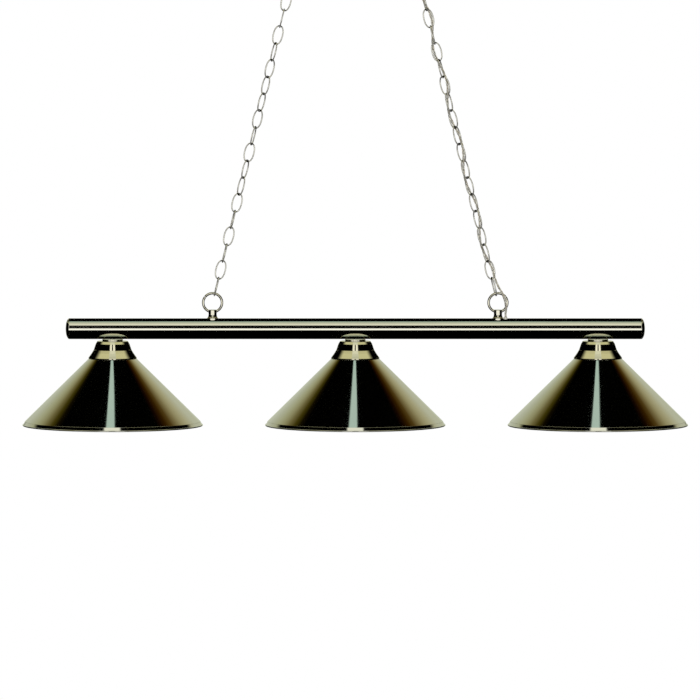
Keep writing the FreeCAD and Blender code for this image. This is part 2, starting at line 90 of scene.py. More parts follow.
# How far each chain has twisted by some of its links, in degrees.
TWIST = {
    "left": ((0, 0), (12, 0), (20, 86), (23, 8), (28, 4)),
    "right": ((0, 180), (18, 50), (25, 42), (28, 12)),
}
SIDES = {"left": -1, "right": 1}

BAR_RADIUS = 20.5
BAR_WALL = 1.2
BAR_HALF_LENGTH = 564.0
BAR_LOOP_X = 281.0
CAP_BULGE = 6.5
BAR_BUSHING = (BAR_LOOP_X + 14.8, -5.0)

LAMPS = {"left": -478.0, "centre": 0.0, "right": 478.0}
NECK_RADIUS = 20.25
NECK_HEIGHT = 3.7
CUP_RADIUS = 19.5
CUP_DEPTH = 45.0
CONE_TOP_DEPTH = 31.0
CONE_SLOPE = 1.0148
CONE_TOP_RADIUS = 43.3
LIP_START_RADIUS = 173.0
RIM_RADIUS = 176.4
RIM_DEPTH = 165.9
RIM_BEAD = 1.4
SHEET = 1.0
RETAINER_RADIUS = 26.0
RETAINER_TOP = 32.3
RETAINER_HEIGHT = 6.0
THREAD_PITCH = 3.63
THREAD_DEPTH = 0.62
BULB_BASE_RADIUS = 13.05
SHELL_BORE = 13.15
BULB_RADIUS = 30.0
BULB_CENTRE_DEPTH = 94.5

CORD_RADIUS = 2.25
WEAVE_RADIUS = 5.65
STRAND_RADIUS = 0.72
STRAND_ORBIT = 0.95
STRAND_LAY = 26.0

PITCH = LINK_LENGTH - 4 * LINK_WIRE - LINK_GAP
LINK_HALF = LINK_LENGTH / 2 - LINK_WIRE
HOOK_REACH = RING_RADIUS - RING_WIRE - LINK_WIRE - LINK_GAP
CHAIN_LENGTH = 2 * (HOOK_REACH + LINK_HALF) + PITCH * (LINK_COUNT - 1)
LEAN = math.asin((BAR_LOOP_X - CANOPY_LOOP_X) / CHAIN_LENGTH)
CANOPY_RING_Z = -CANOPY_DEPTH - RING_HEIGHT
BAR_TOP = CANOPY_RING_Z - CHAIN_LENGTH * math.cos(LEAN) - RING_HEIGHT
BAR_Z = BAR_TOP - BAR_RADIUS
COLLAR_TOP = BAR_Z - BAR_RADIUS - NECK_HEIGHT

# Where the upper links swing on the canopy loops and the bar rocks under the lower links, in
# metres, and a reach to either side of each, listed with the cord's outer stretches but not used to
# bend them.
SWING_Z = round((CANOPY_RING_Z - RING_RADIUS * math.cos(LEAN)) * MM, 6)
ROCK_Z = round((BAR_TOP + RING_HEIGHT + RING_RADIUS * math.cos(LEAN)) * MM, 6)
BEND_REACH = 0.018


# Node trees


BLACK = (0.0, 0.0, 0.0)
# Nearly all of a noise's values lie between these two.
NOISE_LOW, NOISE_HIGH = 0.3, 0.7


def srgb(red, green, blue):
    """A display colour, 0 to 255, as a linear colour."""
    parts = [c / 255 for c in (red, green, blue)]
    return tuple(c / 12.92 if c <= 0.04045 else ((c + 0.055) / 1.055) ** 2.4 for c in parts)


def rgba(colour):
    return (*colour, 1.0)


def shaded(colour, factor):
    """A colour made darker or lighter, up to white."""
    return tuple(min(1.0, c * factor) for c in colour)


class Nodes:
    """Adds nodes to a tree. An input may be a number, a vector, a colour or another output."""

    def __init__(self, tree):
        self.tree = tree

    def add(self, kind, inputs=None, output=0, **settings):
        node = self.tree.nodes.new("ShaderNode" + kind)
        for key, value in settings.items():
            setattr(node, key, value)
        self.feed(node, inputs or {})
        return node.outputs[output]

    def feed(self, node, inputs):
        for key, value in inputs.items():
            if isinstance(value, bpy.types.NodeSocket):
                self.tree.links.new(value, node.inputs[key])
            else:
                node.inputs[key].default_value = value

    def math(self, operation, a, b=0.0):
        return self.add("Math", {0: a, 1: b}, operation=operation)

    def times(self, first, *factors):
        for factor in factors:
            first = self.math("MULTIPLY", first, factor)
        return first

    def split(self, vector):
        node = self.add("SeparateXYZ", {0: vector}).node
        return node.outputs[0], node.outputs[1], node.outputs[2]

    def join(self, x, y, z):
        return self.add("CombineXYZ", {0: x, 1: y, 2: z})

    def step(self, value, low, high, to_low=0.0, to_high=1.0):
        """Goes smoothly from to_low to to_high as value goes from low to high."""
        if low > high:
            low, high, to_low, to_high = high, low, to_high, to_low
        inputs = {0: value, 1: low, 2: high, 3: to_low, 4: to_high}
        return self.add("MapRange", inputs, interpolation_type="SMOOTHSTEP")

    def vary(self, noise, low, high):
        """Maps the usual range of a noise onto another, in proportion."""
        return self.add("MapRange", {0: noise, 1: NOISE_LOW, 2: NOISE_HIGH, 3: low, 4: high})

    def ramp(self, value, stops):
        output = self.add("ValToRGB", {0: value})
        elements = output.node.color_ramp.elements
        while len(elements) < len(stops):
            elements.new(0.5)
        for element, (place, colour) in zip(elements, stops):
            element.position = place
            element.color = rgba(colour)
        return output

    def mix(self, share, a, b):
        """Goes from colour a to colour b as share goes from 0 to 1."""
        a, b = (c if isinstance(c, bpy.types.NodeSocket) else rgba(c) for c in (a, b))
        return self.add("Mix", {0: share, 6: a, 7: b}, 2, data_type="RGBA")

    def noise(self, vector, scale, detail=3.0, roughness=0.5):
        inputs = {"Vector": vector, "Scale": scale, "Detail": detail, "Roughness": roughness}
        return self.add("TexNoise", inputs)

    def bump(self, height, strength, distance):
        return self.add("Bump", {"Strength": strength, "Distance": distance, "Height": height})


# Studio


CAMERA_DISTANCE = 25.0
RIM_VIEW = math.radians(4.12)
FRAME_WIDTH = 1.376
AIM = Vector((-0.0104, 0.0, -1.138))
LIGHT_AIM = Vector((0.0, 0.0, -1.1))
FLOOR_RADIUS = 1.3
FLOOR_Z = -2.6
STUDIO_STRENGTH = 1.25
RAMP_TOP_SLOPE = 1.2


def make_camera():
    """A long lens in front of the lamp, which sees the rims from RIM_VIEW above."""
    rim_z = (COLLAR_TOP - RIM_DEPTH) * MM
    data = bpy.data.cameras.new("camera")
    data.sensor_width = 36.0
    data.lens = data.sensor_width * CAMERA_DISTANCE / FRAME_WIDTH
    data.clip_start = 0.1
    data.clip_end = 200.0
    camera = bpy.data.objects.new("camera", data)
    bpy.context.scene.collection.objects.link(camera)
    camera.location = (AIM.x, -CAMERA_DISTANCE, rim_z + CAMERA_DISTANCE * math.tan(RIM_VIEW))
    camera.rotation_euler = (AIM - camera.location).to_track_quat("-Z", "Y").to_euler()
    bpy.context.scene.camera = camera


def make_world():
    """A dark studio for the lamp to reflect, and plain white for the camera and behind clear parts.

    Each direction is turned into the slope and the turn of the surface that mirrors it to the
    front: slope is how far the surface faces up, turn is how far it faces right."""
    world = bpy.data.worlds.new("studio")
    bpy.context.scene.world = world
    world.use_nodes = True
    world.node_tree.nodes.clear()
    n = Nodes(world.node_tree)
    direction = n.add("TexCoord", output=0)
    x, y, z = n.split(direction)
    ahead = n.math("SUBTRACT", math.cos(RIM_VIEW), y)
    flat = n.math("SQRT", n.math("ADD", n.times(x, x), n.times(ahead, ahead)))
    slope = n.math("DIVIDE", n.math("ADD", z, math.sin(RIM_VIEW)), flat)
    turn = n.math("DIVIDE", x, flat)
    aside = n.math("ABSOLUTE", turn)
    rise = n.math("DIVIDE", slope, RAMP_TOP_SLOPE)

    # The glow on the flanks of each shade and on the outer edge of its lip.
    left_glow = n.ramp(
        aside,
        (
            (0.58, BLACK),
            (0.64, srgb(16, 11, 0)),
            (0.70, srgb(62, 54, 10)),
            (0.76, srgb(104, 96, 56)),
            (0.82, srgb(138, 135, 97)),
            (0.88, srgb(156, 157, 123)),
            (0.94, srgb(167, 170, 145)),
            (1.0, srgb(180, 184, 164)),
        ),
    )
    right_glow = n.ramp(
        aside,
        (
            (0.51, BLACK),
            (0.56, srgb(18, 5, 0)),
            (0.62, srgb(45, 25, 0)),
            (0.68, srgb(75, 57, 20)),
            (0.74, srgb(115, 104, 66)),
            (0.80, srgb(145, 138, 100)),
            (0.86, srgb(161, 157, 122)),
            (0.94, srgb(173, 175, 150)),
        ),
    )
    glow = n.mix(n.step(turn, -0.05, 0.05), left_glow, right_glow)
    on_lip = n.times(n.step(slope, 0.44, 0.46), n.step(slope, 0.56, 0.53))
    on_edge = n.times(on_lip, n.step(aside, 0.84, 0.90))
    glow_share = n.math("MAXIMUM", n.step(slope, 0.83, 0.93), on_edge)

    # The cream bands of each collar.
    cream_share = n.times(n.step(slope, 0.52, 0.60), n.step(aside, 0.76, 0.54))

    # The strip light overhead: the streak down each shade and the bar's upper light band.
    strip = n.ramp(
        rise,
        (
            (0.20, srgb(248, 246, 234)),
            (0.31, srgb(232, 231, 212)),
            (0.40, srgb(222, 221, 200)),
            (0.515, srgb(203, 205, 183)),
            (0.65, srgb(180, 182, 160)),
            (0.75, srgb(160, 172, 155)),
            (0.80, srgb(165, 185, 170)),
        ),
    )
    widths = ((0.31, 0.14), (0.37, 0.09), (0.44, 0.09), (0.49, 0.15), (0.70, 0.15), (0.77, 0.048))
    width = n.ramp(rise, [(place, (value, value, value)) for place, value in widths])
    middle = n.step(slope, 0.84, 0.92, 0.0, -0.026)
    off_middle = n.math("DIVIDE", n.math("ABSOLUTE", n.math("SUBTRACT", turn, middle)), width)
    within = n.step(off_middle, 1.14, 0.86)
    strip_share = n.times(within, n.step(slope, 0.08, 0.14), n.step(slope, 1.12, 1.05))

    # A white card straight ahead, for the bar's lower light band, and the dark gap over it.
    upright = n.times(n.step(slope, 0.105, 0.07), n.step(slope, -0.10, -0.058))
    card_share = n.times(upright, n.step(aside, 0.46, 0.34))
    between = n.times(n.step(slope, 0.07, 0.105), n.step(slope, 0.425, 0.385))
    gap_share = n.times(between, n.step(aside, 0.040, 0.025))

    colour = n.mix(cream_share, BLACK, srgb(190, 188, 146))
    colour = n.mix(glow_share, colour, glow)
    colour = n.mix(strip_share, colour, strip)
    colour = n.mix(gap_share, colour, BLACK)
    colour = n.mix(card_share, colour, srgb(250, 250, 240))
    # Edges seen at a grazing angle mirror what is behind the lamp.
    colour = n.mix(n.step(y, 0.955, 0.985), colour, srgb(178, 182, 160))
    studio = n.add("Background", {0: colour, 1: STUDIO_STRENGTH})
    white = n.add("Background", {0: rgba((1.0, 1.0, 1.0)), 1: 1.0})
    path = n.add("LightPath").node
    seen = n.math("MAXIMUM", path.outputs["Is Camera Ray"], path.outputs["Is Transmission Ray"])
    shader = n.add("MixShader", {0: seen, 1: studio, 2: white})
    out = world.node_tree.nodes.new("ShaderNodeOutputWorld")
    world.node_tree.links.new(shader, out.inputs[0])


def make_lights():
    """Large soft lights for everything that isn't shiny. Metal doesn't mirror them."""
    for name, place, size, power in (
        ("key_light", (-1.6, -3.0, 1.6), 2.6, 130.0),
        ("fill_light", (2.4, -2.4, -0.2), 2.4, 60.0),
        ("back_light", (0.4, 3.0, 1.2), 2.6, 80.0),
        ("low_light", (0.0, -0.6, -1.95), 2.4, 16.0),
    ):
        data = bpy.data.lights.new(name, "AREA")
        data.size = size
        data.energy = power
        light = bpy.data.objects.new(name, data)
        bpy.context.scene.collection.objects.link(light)
        light.location = place
        light.rotation_euler = (LIGHT_AIM - light.location).to_track_quat("-Z", "Y").to_euler()
        light.visible_glossy = False
        light.visible_camera = False
        light.visible_transmission = False


def make_floor():
    """A round floor well under the lamp. Views from below the lamp pass beside it."""
    segments = 96
    angles = [2 * math.pi * i / segments for i in range(segments)]
    ring = [(FLOOR_RADIUS * math.cos(a), FLOOR_RADIUS * math.sin(a), FLOOR_Z) for a in angles]
    mesh = bpy.data.meshes.new("floor")
    mesh.from_pydata(ring, [], [list(range(segments))])
    floor = bpy.data.objects.new("floor", mesh)
    bpy.context.scene.collection.objects.link(floor)
    floor.visible_glossy = False
    mesh.materials.append(plain_floor())


# Materials


def new_material(name):
    """A material with one shader, its nodes, and each point's place on the piece in metres."""
    material = bpy.data.materials.new(name)
    material.use_nodes = True
    material.node_tree.nodes.clear()
    n = Nodes(material.node_tree)
    shader = material.node_tree.nodes.new("ShaderNodeBsdfPrincipled")
    out = material.node_tree.nodes.new("ShaderNodeOutputMaterial")
    material.node_tree.links.new(shader.outputs[0], out.inputs[0])
    return material, n, shader, n.add("TexCoord", output=3)


def plain_floor():
    material, n, shader, place = new_material("pale_floor")
    cloud = n.noise(place, 1.5, 4.0)
    colour = n.mix(cloud, (0.80, 0.80, 0.79), (0.84, 0.84, 0.83))
    n.feed(shader, {"Base Color": colour, "Roughness": 0.9})
    return material


# How closely each kind of brushing packs its lines: along them and across them.
BRUSHING = {"round": (1.6, 900.0), "length": (14.0, 1500.0), "even": (700.0, 700.0)}


def brush_lines(n, place, direction):
    """Fine lines left by brushing: around the upright axis, along X, or evenly spread."""
    x, y, z = n.split(place)
    along, across = BRUSHING[direction]
    if direction == "round":
        flat = n.add("VectorMath", {0: n.join(x, y, 0.0)}, operation="NORMALIZE")
        right, back, _ = n.split(flat)
        radius = n.add("VectorMath", {0: n.join(x, y, 0.0)}, operation="LENGTH", output=1)
        slant = n.math("ADD", n.times(z, -1.0), radius)
        return n.join(n.times(right, along), n.times(back, along), n.times(slant, across))
    return n.join(n.times(x, along), n.times(y, across), n.times(z, across))


def metal(name, colour, roughness, brushing, bump, spread, anisotropic=0.0, metallic=1.0,
          stain=0.06):
    """Plated or bare metal: brushed lines, a little uneven polish and faint handling marks."""
    material, n, shader, place = new_material(name)
    lines = n.noise(brush_lines(n, place, brushing), 1.0, 4.0, 0.6)
    cloud = n.noise(place, 22.0, 4.0, 0.6)
    smudge = n.step(cloud, 0.42, 0.72)
    tone = n.mix(n.vary(lines, 0.0, 1.0), shaded(colour, 1 - stain), colour)
    tone = n.mix(n.times(smudge, 0.5), tone, shaded(colour, 1 - 1.5 * stain))
    rough = n.vary(lines, roughness - spread, roughness + spread)
    rough = n.math("ADD", rough, n.times(smudge, spread))
    normal = n.bump(lines, bump, 0.0002)
    values = {"Base Color": tone, "Metallic": metallic, "Roughness": rough, "Normal": normal}
    if anisotropic:
        values["Anisotropic"] = anisotropic
        values["Tangent"] = n.add("Tangent", direction_type="RADIAL", axis="Z")
    n.feed(shader, values)
    return material


def plastic(name, colour, roughness, mottle=0.08, **extra):
    """Moulded plastic: a fine grain in the skin and slightly uneven colour."""
    material, n, shader, place = new_material(name)
    cloud = n.noise(place, 60.0, 4.0)
    grain = n.noise(place, 2600.0, 2.0)
    tone = n.mix(cloud, shaded(colour, 1 - mottle), shaded(colour, 1 + mottle))
    rough = n.vary(grain, roughness - 0.06, roughness + 0.06)
    normal = n.bump(grain, 0.15, 0.00004)
    n.feed(shader, {"Base Color": tone, "Roughness": rough, "Normal": normal, **extra})
    return material


def enamel(name, colour):
    """Sprayed enamel with a faint orange-peel surface."""
    material, n, shader, place = new_material(name)
    peel = n.noise(place, 420.0, 3.0, 0.4)
    cloud = n.noise(place, 14.0, 4.0)
    tone = n.mix(cloud, shaded(colour, 0.95), colour)
    normal = n.bump(peel, 0.18, 0.0002)
    n.feed(shader, {"Base Color": tone, "Roughness": 0.38, "Normal": normal,
                    "Coat Weight": 0.25, "Coat Roughness": 0.2})
    return material


def frosted_glass():
    """The bulb's envelope, whitened on its inside."""
    material, n, shader, place = new_material("frosted_glass")
    grain = n.noise(place, 1800.0, 3.0)
    cloud = n.noise(place, 30.0, 3.0)
    tone = n.mix(cloud, (0.90, 0.90, 0.87), (0.96, 0.96, 0.94))
    normal = n.bump(grain, 0.2, 0.00006)
    n.feed(shader, {"Base Color": tone, "Roughness": n.vary(grain, 0.4, 0.55),
                    "Normal": normal, "Transmission Weight": 0.3, "IOR": 1.5})
    return material


def clear_jacket():
    """The cord's clear vinyl, slightly yellow, with a soft skin."""
    material, n, shader, place = new_material("clear_cord")
    cloud = n.noise(place, 90.0, 3.0)
    grain = n.noise(place, 1500.0, 2.0)
    tone = n.mix(cloud, (0.93, 0.90, 0.80), (0.97, 0.95, 0.88))
    normal = n.bump(grain, 0.1, 0.00005)
    n.feed(shader, {"Base Color": tone, "Roughness": n.vary(cloud, 0.12, 0.26),
                    "Normal": normal, "Transmission Weight": 0.85, "IOR": 1.2})
    return material


def make_materials():
    """Every material by its slot. A metal's numbers are its roughness, how deep its lines are and
    how much its polish varies."""
    nickel = srgb(226, 222, 210)
    return {
        "brushed_cone": metal("brushed_cone", srgb(231, 231, 229), 0.055, "round", 0.01, 0.01,
                              stain=0.03),
        "white_enamel": enamel("white_enamel", (0.86, 0.86, 0.83)),
        "brushed_bar": metal("brushed_bar", srgb(233, 231, 222), 0.06, "length", 0.01, 0.02),
        "polished_collar": metal("polished_collar", srgb(236, 232, 216), 0.07, "even", 0.02, 0.03),
        "polished_nickel": metal("polished_nickel", nickel, 0.12, "even", 0.03, 0.04),
        "canopy_nickel": metal("canopy_nickel", nickel, 0.22, "round", 0.08, 0.06,
                               anisotropic=0.4),
        "chain_nickel": metal("chain_nickel", srgb(236, 234, 226), 0.15, "even", 0.05, 0.04,
                              metallic=0.8),
        # The dark bends of the chain links: partly rubbed plating, partly painted shade where the
        # links interlock.
        "rubbed_and_shaded_nickel": metal("rubbed_and_shaded_nickel", srgb(46, 42, 32), 0.34, "even", 0.1, 0.06,
                               metallic=0.8, stain=0.15),
        "zinc_steel": metal("zinc_steel", srgb(196, 198, 196), 0.35, "even", 0.12, 0.08,
                            stain=0.15),
        "brass": metal("brass", srgb(214, 176, 96), 0.26, "even", 0.06, 0.06, stain=0.12),
        "bulb_metal": metal("bulb_metal", srgb(205, 206, 206), 0.25, "even", 0.05, 0.06),
        "phenolic_black": plastic("phenolic_black", (0.018, 0.017, 0.016), 0.32),
        "clear_plastic": plastic("clear_plastic", (0.86, 0.85, 0.80), 0.22, 0.04,
                                 **{"Transmission Weight": 0.6, "IOR": 1.45}),
        "connector_plastic": plastic("connector_plastic", srgb(216, 120, 36), 0.42),
        "wire_insulation": plastic("wire_insulation", (0.85, 0.85, 0.82), 0.38),
        "ground_green": metal("ground_green", srgb(58, 132, 74), 0.4, "even", 0.08, 0.08),
        "solder": metal("solder", srgb(186, 188, 190), 0.42, "even", 0.2, 0.08, stain=0.15),
        "frosted_glass": frosted_glass(),
        "clear_cord": clear_jacket(),
        "copper_strand": metal("copper_strand", srgb(212, 186, 150), 0.3, "even", 0.06, 0.06),
        "tinned_strand": metal("tinned_strand", srgb(206, 206, 202), 0.3, "even", 0.06, 0.06),
    }


# Mesh code


def piece(m, data, finishes, body, node=None, place=(0.0, 0.0, 0.0)):
    """A piece of the lamp, on a body or still free. Its origin is at place, so that its texture
    turns about its own axis."""
    obj = bpy.data.objects.new(data.name, data)
    bpy.context.scene.collection.objects.link(obj)
    for finish in finishes:
        data.materials.append(m[finish])
    obj.location = tuple(c * MM for c in place)
    if body:
        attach(obj, body)
    if node:
        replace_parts(obj, node)
    return obj


def mesh_of(name, points, faces, sharp=32.0, face_materials=None):
    """A mesh from points in millimetres, smooth except at creases sharper than an angle."""
    mesh = bpy.data.meshes.new(name)
    mesh.from_pydata([tuple(c * MM for c in p) for p in points], [], faces)
    if face_materials:
        mesh.polygons.foreach_set("material_index", face_materials)
    mesh.shade_smooth()
    mesh.set_sharp_from_angle(angle=math.radians(sharp))
    mesh.validate()
    return mesh


def rounded(outline, closed=True):
    """An outline of (x, y, fillet radius, steps) corners as points. Each corner is an arc, with a
    point close by on each straight run, so that smooth shading leaves the runs true."""
    most_of_run, support, support_share, least_support = 0.49, 0.5, 0.2, 0.02
    count = len(outline)
    corners = [Vector(corner[:2]) for corner in outline]
    turns, reaches = [], []
    for i, corner in enumerate(outline):
        back = corners[i - 1] - corners[i]
        on = corners[(i + 1) % count] - corners[i]
        radius = corner[2] if len(corner) > 2 else 0.0
        if not closed and i in (0, count - 1):
            radius = 0.0
        turn = math.pi - back.angle(on)
        turns.append(turn)
        longest = most_of_run * min(back.length, on.length)
        reaches.append(min(radius * math.tan(turn / 2), longest))

    points = []
    for i, here in enumerate(corners):
        reach, turn = reaches[i], turns[i]
        if reach <= 0 or turn < 1e-3:
            points.append(tuple(here))
            continue
        steps = outline[i][3] if len(outline[i]) > 3 else 4
        back = corners[i - 1] - here
        on = corners[(i + 1) % count] - here
        radius = reach / math.tan(turn / 2)
        middle = (back.normalized() + on.normalized()).normalized()
        centre = here + middle * (radius / math.cos(turn / 2))
        start = here + back.normalized() * reach - centre
        end = here + on.normalized() * reach - centre
        sweep = start.angle_signed(end)
        arc = [centre + Matrix.Rotation(-sweep * k / steps, 2) @ start for k in range(steps + 1)]
        before = min(support, support_share * (back.length - reach - reaches[i - 1]))
        after = min(support, support_share * (on.length - reach - reaches[(i + 1) % count]))
        if before > least_support:
            arc.insert(0, arc[0] + back.normalized() * before)
        if after > least_support:
            arc.append(arc[-1] + on.normalized() * after)
        points += [tuple(p) for p in arc]
    return points


def lathe(profile, segments=96, closed=True, warp=None):
    """Points and faces of an outline (radius, height) turned about Z. Points on the axis are
    shared. A warp may move each point by its angle."""
    points, rings = [], []
    for radius, height in profile:
        if radius < 1e-6:
            rings.append([len(points)])
            points.append((0.0, 0.0, height))
            continue
        ring = []
        for s in range(segments):
            a = 2 * math.pi * s / segments
            r, z = warp(a, radius, height) if warp else (radius, height)
            ring.append(len(points))
            points.append((r * math.cos(a), r * math.sin(a), z))
        rings.append(ring)
    faces = []
    pairs = list(zip(rings, rings[1:]))
    if closed:
        pairs.append((rings[-1], rings[0]))
    for low, high in pairs:
        if len(low) == 1 and len(high) == 1:
            continue
        for s in range(segments):
            t = (s + 1) % segments
            if len(low) == 1:
                faces.append((low[0], high[s], high[t]))
            elif len(high) == 1:
                faces.append((low[s], high[0], low[t]))
            else:
                faces.append((low[s], high[s], high[t], low[t]))
    return points, faces


def sweep(centres, frames, radii, sides=16, closed=False):
    """A round tube through centres. A frame is the two directions across the tube there."""
    points = []
    for centre, (u, v), radius in zip(centres, frames, radii):
        for s in range(sides):
            a = 2 * math.pi * s / sides
            points.append(tuple(centre + u * (radius * math.cos(a)) + v * (radius * math.sin(a))))
    faces = []
    count = len(centres)
    for i in range(count if closed else count - 1):
        here, there = i * sides, ((i + 1) % count) * sides
        for s in range(sides):
            t = (s + 1) % sides
            faces.append((here + s, here + t, there + t, there + s))
    if not closed:
        faces.append(tuple(reversed(range(sides))))
        last = (count - 1) * sides
        faces.append(tuple(last + s for s in range(sides)))
    return points, faces


def merged(parts):
    """Several (points, faces) as one."""
    points, faces = [], []
    for more_points, more_faces in parts:
        start = len(points)
        points += more_points
        faces += [tuple(start + i for i in face) for face in more_faces]
    return points, faces


def moved(part, matrix):
    """A part's points and faces, moved and turned but never mirrored."""
    points, faces = part
    return [tuple(matrix @ Vector(p)) for p in points], faces


# Cord


def chain_frame(side):
    """The chain's upper ring centre, its downward direction and its turn about Y."""
    start = Vector((side * CANOPY_LOOP_X, 0, CANOPY_RING_Z))
    down = Vector((side * math.sin(LEAN), 0, -math.cos(LEAN)))
    return start, down, Matrix.Rotation(-side * LEAN, 3, "Y")


def twist_at(twist, index):
    """How far the chain has twisted by a link, from a list of (link, degrees)."""
    for (first, low), (last, high) in zip(twist, twist[1:]):
        if index <= last:
            break
    return low + (high - low) * (index - first) / (last - first)


def weave_point(index):
    """A point of the cord's weave beside a link, where each link turns it by about 90 degrees."""
    start, down, tilt = chain_frame(1)
    phase = math.radians(270 + twist_at(TWIST["right"], index) - 90 * index)
    aside = Vector((WEAVE_RADIUS * math.cos(phase), WEAVE_RADIUS * math.sin(phase), 0))
    return start + down * (HOOK_REACH + LINK_HALF + PITCH * index) + tilt @ aside


def beside_chain(across, back, distance):
    """A point beside the right-hand chain, at a distance down from its upper ring's centre."""
    start, down, tilt = chain_frame(1)
    return start + down * distance + tilt @ Vector((across, back, 0))


def cord_route():
    """The whole cord: out of the canopy, down the chain and into the bar, as three lists that
    share their ends."""
    x, y = CANOPY_BUSHING
    upper = [
        Vector((x, y, -9)),
        Vector((x, y, -35)),
        Vector((x - 0.6, y - 3.4, -53)),
        beside_chain(-7.6, 9.0, 9),
        beside_chain(-6.4, 5.7, 21),
    ]
    weave = [weave_point(half / 2) for half in range(2 * LINK_COUNT - 2)]
    x, y = BAR_BUSHING
    lower = [
        beside_chain(7.5, -6.0, CHAIN_LENGTH - 33),
        Vector((x - 7.8, -8.2, BAR_TOP + 52.5)),
        Vector((x - 2.5, -8.8, BAR_TOP + 41)),
        Vector((x + 0.6, -8.4, BAR_TOP + 29.5)),
        Vector((x + 1.1, -7.2, BAR_TOP + 18.5)),
        Vector((x, y, BAR_TOP + 8.5)),
        Vector((x, y, BAR_TOP - 9)),
    ]
    first, last = 2, len(weave) - 1
    joints = [(weave[i - 1] + weave[i]) * 0.5 for i in (first, last)]
    return (
        upper + weave[:first] + [joints[0]],
        [joints[0]] + weave[first:last] + [joints[1]],
        [joints[1]] + weave[last:] + lower,
    )


def cord_curve(name, route, bevel=0.0):
    """A route as a smooth curve, a bare line unless it is given a bevel radius."""
    data = bpy.data.curves.new(name, "CURVE")
    data.dimensions = "3D"
    data.resolution_u = 12
    data.bevel_depth = bevel * MM
    data.bevel_resolution = 6
    data.use_fill_caps = True
    spline = data.splines.new("NURBS")
    spline.points.add(len(route) - 1)
    for point, place in zip(spline.points, route):
        point.co = (*(place * MM), 1.0)
    spline.order_u = 3
    spline.use_endpoint_u = True
    return data


def mesh_of_curve(curve):
    """The mesh of a curve as it stands."""
    probe = bpy.data.objects.new("probe", curve)
    mesh = bpy.data.meshes.new_from_object(probe)
    bpy.data.objects.remove(probe)
    return mesh


def line_of(route):
    """The points, in millimetres, that a route's own spline follows."""
    mesh = mesh_of_curve(cord_curve("probe", route))
    points = [v.co / MM for v in mesh.vertices]
    bpy.data.meshes.remove(mesh)
    return points


def turning_frames(points):
    """Two directions across a line at each of its points, carried along it without twisting."""
    frames = []
    across = None
    for i in range(len(points)):
        ahead = (points[min(i + 1, len(points) - 1)] - points[max(i - 1, 0)]).normalized()
        if across is None:
            across = ahead.orthogonal().normalized()
        across = (across - ahead * across.dot(ahead)).normalized()
        frames.append((across, ahead.cross(across)))
    return frames


def make_strand(m, name, line, body, share, finish):
    """A stranded conductor inside the clear jacket, laid round the cord's middle."""
    frames = turning_frames(line)
    travelled = 0.0
    centres = []
    for i, (point, (u, v)) in enumerate(zip(line, frames)):
        if i:
            travelled += (point - line[i - 1]).length
        a = 2 * math.pi * (travelled / STRAND_LAY + share)
        centres.append(point + (u * math.cos(a) + v * math.sin(a)) * STRAND_ORBIT)
    radii = [STRAND_RADIUS] * len(centres)
    part = sweep(centres, turning_frames(centres), radii, sides=8)
    return piece(m, mesh_of(name, *part, sharp=80.0), (finish,), body)


def make_cord(m):
    """The clear cord in three stretches. The outer two, which pass where the chain turns on its
    loops, belong to no body and are baked where they stand.
    """
    upper, weave, lower = cord_route()
    swing = [(0, 0, SWING_Z + BEND_REACH), (0, 0, SWING_Z - BEND_REACH)]
    rock = [(0, 0, ROCK_Z + BEND_REACH), (0, 0, ROCK_Z - BEND_REACH)]
    stretches = (
        ("cord_upper", upper, "cord_upper_tail", None, ("canopy", "upper_links", *swing)),
        ("cord_woven", weave, "cord_weave", "right_chain", None),
        ("cord_lower", lower, "cord_lower_tail", None, ("lower_links", "lamp_bar", *rock)),
    )
    for name, route, node, body, blend in stretches:
        line = line_of(route)
        for i, finish in enumerate(("copper_strand", "tinned_strand")):
            strand = make_strand(m, f"{name}_strand_{i}", line, body, i / 2, finish)
            if blend:
                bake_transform(strand)
        data = cord_curve(name, route, CORD_RADIUS)
        if blend:
            data = mesh_of_curve(data)
            data.name = name
            data.shade_smooth()
        obj = piece(m, data, ("clear_cord",), body, node)
        if blend:
            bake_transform(obj)


# Chains and loops


def link_part():
    """One oval link about the origin, standing along Z in the XZ plane, with a weld on one leg.

    It gives which faces are on the two bends too, which are painted dark: partly rubbed plating,
    partly painted shade where the links interlock."""
    half_width = LINK_WIDTH / 2 - LINK_WIRE
    # An oval a little squarer than an ellipse, and how much the weld swells the wire.
    flatness = 2 / 2.25
    weld = (0.06, 0.14, -0.04, 0.14, 0.06)
    steps, sides = 72, 14
    rubbed_and_shaded_reach = 5
    centres, frames, radii = [], [], []
    back = Vector((0, 1, 0))
    for i in range(steps):
        a = 2 * math.pi * i / steps
        across = math.copysign(abs(math.cos(a)) ** flatness, math.cos(a))
        along = math.copysign(abs(math.sin(a)) ** flatness, math.sin(a))
        centres.append(Vector((half_width * across, 0, LINK_HALF * along)))
    for i in range(steps):
        ahead = (centres[(i + 1) % steps] - centres[i - 1]).normalized()
        frames.append((back.cross(ahead) * -1, back))
        from_weld = i - steps // 2 + len(weld) // 2
        swell = weld[from_weld] if 0 <= from_weld < len(weld) else 0.0
        radii.append(LINK_WIRE + swell)
    points, faces = sweep(centres, frames, radii, sides, closed=True)
    bends = (steps // 4, 3 * steps // 4)
    # Faces near both bends take the dark finish: partly rubbed plating, partly painted shade where
    # the links interlock.
    rubbed_and_shaded_faces = [1 if min(abs(i // sides - bend) for bend in bends) < rubbed_and_shaded_reach else 0
              for i in range(len(faces))]
    return points, faces, rubbed_and_shaded_faces


